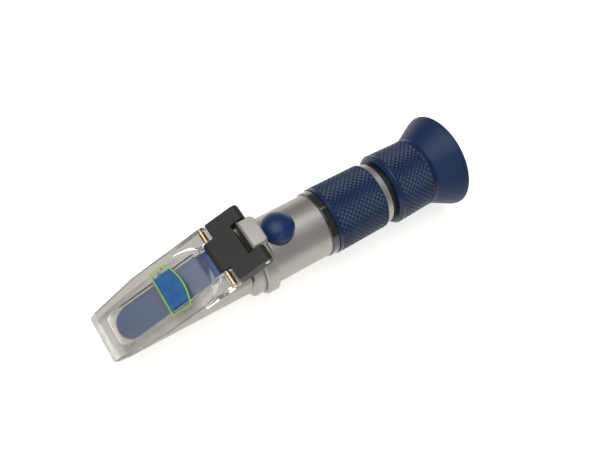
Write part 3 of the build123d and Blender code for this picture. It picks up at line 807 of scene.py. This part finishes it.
def make_eyecup():
    """Turn the eyecup from its closed outline of places on X and radii."""
    cup_low, cup_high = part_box("eyecup")
    x_root, x_rim = cup_low.x / MM, cup_high.x / MM
    outline = [
        (x_root, 12.6),
        (x_root, 15.0),
        (x_rim - 2.4, 20.2),
        (x_rim - 0.8, 20.7),
        (x_rim, 19.9),
        (x_rim, 18.4),
        (x_root + CUP_FLOOR_REAR, 13.0),
        (x_root + CUP_FLOOR_REAR, 8.6),
        (x_root + CUP_FLOOR_FRONT, 8.6),
        (x_root + CUP_FLOOR_FRONT, 12.6),
    ]
    points = rounded(outline, CUP_CORNERS)
    piece = turned_piece("soft_eyecup", [tuple(point) for point in points], CUP_COLUMNS)
    piece.data.shade_smooth()
    return piece


eyecup = make_eyecup()
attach(eyecup, "focusing")
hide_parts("eyecup")
print("eyecup faces:", len(eyecup.data.polygons))

# %% [markdown]
# ## Navy rubber
# The grip, the ring and the cup are the same navy. The knurled rubber is a little glossier than
# the cup, so that the sides of its pyramids catch the light and glint. The eyecup is left softer
# and more even.

# %% Finish the rubber
navy_grip = plain_finish(
    "navy_grip", (0.004, 0.019, 0.070), (0.007, 0.026, 0.088), (0.24, 0.34),
    patch_mm=7.0, grain_mm=0.30, grain_depth_mm=0.006, Specular_IOR_Level=0.4)
navy_cup = plain_finish(
    "navy_cup", (0.004, 0.021, 0.080), (0.007, 0.028, 0.098), (0.38, 0.50),
    patch_mm=10.0, grain_mm=0.40, grain_depth_mm=0.006, Specular_IOR_Level=0.3)
grip.data.materials.append(navy_grip)
focus_ring.data.materials.append(navy_grip)
eyecup.data.materials.append(navy_cup)
print("rubber finished")

# %% [markdown]
# ## Outline of the film
# A piece of thin film with a lime edge lies on the plate, straight in front and bowed behind. Its
# corners and its bow were measured on the photograph in the cover's own directions. A curve
# through the three points of the bow gives the rest of that side, and the same outline drawn in
# by the width of the lime edge gives the tinted part.

# %% Draw the outline of the film
FILM_FRONT = ((-24.4, 9.9), (-24.7, -9.5))
FILM_BOW = ((-16.8, -9.9), (-14.8, -0.9), (-17.3, 9.9))
FILM_EDGE = 0.55
BOW_STEPS = 16


def bow_at(y):
    """Place along the cover of the bowed edge: the curve through its three measured points."""
    total = 0
    for u, own in FILM_BOW:
        share = 1
        for _, other in FILM_BOW:
            if other != own:
                share *= (y - other) / (own - other)
        total += u * share
    return total


def drawn_in(outline, width):
    """The same closed outline, drawn in by a width on every side."""
    inner = []
    for number, point in enumerate(outline):
        here = Vector(point)
        before = (here - Vector(outline[number - 1])).normalized()
        after = (Vector(outline[(number + 1) % len(outline)]) - here).normalized()
        across = Vector((-after.y, after.x))
        inward = (Vector((-before.y, before.x)) + across).normalized()
        inner.append(tuple(here + inward * width / inward.dot(across)))
    return inner


y_start, y_end = FILM_BOW[0][1], FILM_BOW[-1][1]
bow_places = [y_start + (y_end - y_start) * step / BOW_STEPS for step in range(BOW_STEPS + 1)]
film_outline = [*FILM_FRONT, *((bow_at(y), y) for y in bow_places)]
film_inner = drawn_in(film_outline, FILM_EDGE)
print("points of the film's outline:", len(film_outline))

# %% [markdown]
# ## Cut the film
# The film could be painted onto the plate, but a film of its own catches the light at its edge.
# So the ring between the two outlines becomes the lime edge, the inner outline becomes one
# tinted face, and a solidify modifier gives the film its thickness.

# %% Cut the film
FILM_THICKNESS = 0.06
FILM_HEIGHT = 2.51


def on_cover(u, y, v):
    """A point from its places along, across and above the cover, in millimetres."""
    return plate_pin + (along_cover * u + above_cover * v) * MM + across_cover * y * MM


def cut_film():
    """Cut the film in two materials, tint and edge."""
    count = len(film_outline)
    points = [on_cover(u, y, FILM_HEIGHT) for u, y in film_outline + film_inner]
    edge = [(i, (i + 1) % count, count + (i + 1) % count, count + i) for i in range(count)]
    mesh = bpy.data.meshes.new("tinted_film")
    mesh.from_pydata(points, [], [*edge, tuple(range(count, 2 * count))])
    for face in mesh.polygons[:count]:
        face.material_index = 1
    piece = bpy.data.objects.new("tinted_film", mesh)
    bpy.context.scene.collection.objects.link(piece)
    thick = piece.modifiers.new("thickness", "SOLIDIFY")
    thick.thickness = FILM_THICKNESS * MM
    thick.offset = 1.0
    return piece


film = cut_film()
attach(film, "cover_plate")
print("film faces:", len(film.data.polygons))

# %% [markdown]
# ## Tint the film
# The film is tinted blue over the prism and almost clear beside it, where only a few small blue
# flecks are left. How well it covers is worked out from the place across the cover. Two pieces
# of film would show a seam there that the real one doesn't have.

# %% Tint the film
TINT_COVER = 0.72
TINT_HALF_WIDTH = 6.9
TINT_FADE = 0.4
FLECK_COVER = 0.75
FILM_ROUGHNESS = 0.25


def blue_film():
    """Blue tint over the prism, nearly clear beside it, with a few blue flecks."""
    material, tree, shader = new_finish("blue_film")
    from_middle = calculate(tree, "ABSOLUTE", cover_heights(tree)["Y"])
    tinted = between(tree, from_middle, TINT_COVER, 0.0,
                     start=TINT_HALF_WIDTH, end=TINT_HALF_WIDTH + TINT_FADE)
    flecks = between(tree, clouds(tree, 1.3, detail=3.0), 0.0, FLECK_COVER, start=0.56, end=0.66)
    tree.links.new(calculate(tree, "MAXIMUM", tinted, flecks), shader.inputs["Alpha"])
    drift = between(tree, clouds(tree, 2.5, detail=3.0), 0.0, 1.0)
    tree.links.new(blend_colours(tree, drift, (0.012, 0.125, 0.37), (0.024, 0.165, 0.45)),
                   shader.inputs["Base Color"])
    shader.inputs["Roughness"].default_value = FILM_ROUGHNESS
    return material


lime_edge = plain_finish(
    "lime_edge", (0.24, 0.52, 0.04), (0.30, 0.60, 0.06), (0.3, 0.4), patch_mm=1.5, grain_mm=0.4)
film.data.materials.append(blue_film())
film.data.materials.append(lime_edge)
print("film tinted")
